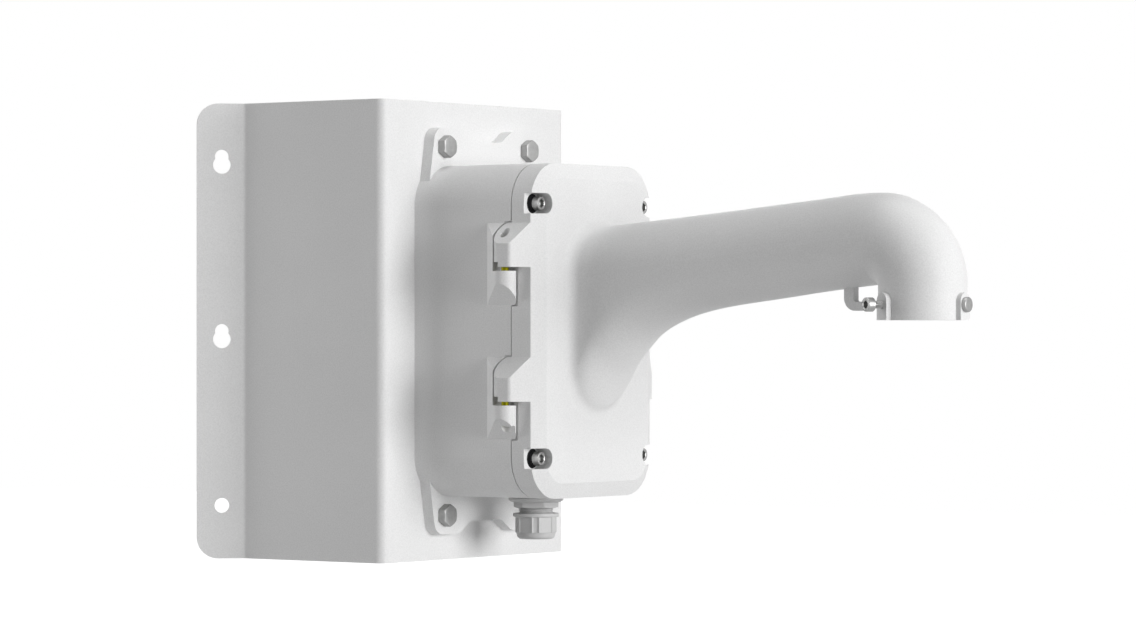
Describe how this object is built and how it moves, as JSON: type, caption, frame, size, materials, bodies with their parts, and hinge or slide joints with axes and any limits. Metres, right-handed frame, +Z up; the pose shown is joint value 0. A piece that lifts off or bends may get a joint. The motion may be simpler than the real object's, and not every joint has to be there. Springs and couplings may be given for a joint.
{
  "type": "camera corner mount bracket",
  "caption": "Corner mount for a camera: folded plate, junction box with hinged cover, and a cast hollow arm that turns down into a threaded collar.",
  "frame": {"origin": "on the edge of the building's corner that the bracket straddles, at the plate's mid height", "axes": "+Z up; the arm reaches out to -Y along the bisector of the building's corner; the two walls run back from the corner edge at 45 degrees either side of +Y; +X to the right when facing +Y"},
  "size_m": [0.2446, 0.5185, 0.3],
  "materials": {
    "white_powder_coat_plate": "fine matt powder coat",
    "white_powder_coat_box": "fine matt powder coat",
    "white_powder_coat_arm": "fine matt powder coat",
    "bolt_steel": "plain stainless",
    "screw_steel": "turned stainless",
    "yellow_pin_steel": "yellow passivated",
    "earth_brass": "plain brass",
    "seal_rubber": "matt black",
    "grey_nylon": "light grey moulded"
  },
  "bodies": {
    "housing": {"corner_plate": "white_powder_coat_plate", "junction_box": "white_powder_coat_box", "cover_gasket": "seal_rubber", "box_bolt_upper_left": "bolt_steel", "box_bolt_upper_right": "bolt_steel", "box_bolt_lower_left": "bolt_steel", "box_bolt_lower_right": "bolt_steel", "plate_washer_upper_left": "bolt_steel", "plate_washer_upper_right": "bolt_steel", "plate_washer_lower_left": "bolt_steel", "plate_washer_lower_right": "bolt_steel", "plate_nut_upper_left": "bolt_steel", "plate_nut_upper_right": "bolt_steel", "plate_nut_lower_left": "bolt_steel", "plate_nut_lower_right": "bolt_steel", "hinge_pin_upper": "yellow_pin_steel", "hinge_pin_lower": "yellow_pin_steel", "earth_washer": "earth_brass", "earth_screw": "earth_brass", "gland_seal": "seal_rubber", "gland_body": "grey_nylon", "gland_locknut": "grey_nylon", "gland_insert": "seal_rubber", "gland_cap": "grey_nylon"},
    "cover": {"cover_arm": "white_powder_coat_arm", "cover_screw_upper_left": "screw_steel", "cover_screw_upper_right": "screw_steel", "cover_screw_lower_left": "screw_steel", "cover_screw_lower_right": "screw_steel", "collar_screw_front": "screw_steel", "collar_screw_left": "screw_steel", "collar_screw_right": "screw_steel"}
  },
  "joints": [
    {"name": "cover_hinge", "type": "hinge", "parent": "housing", "child": "cover", "pos_m": [-0.0732, -0.0982, 0], "axis": [0, 0, -1], "range_deg": [0, 70]}
  ]
}
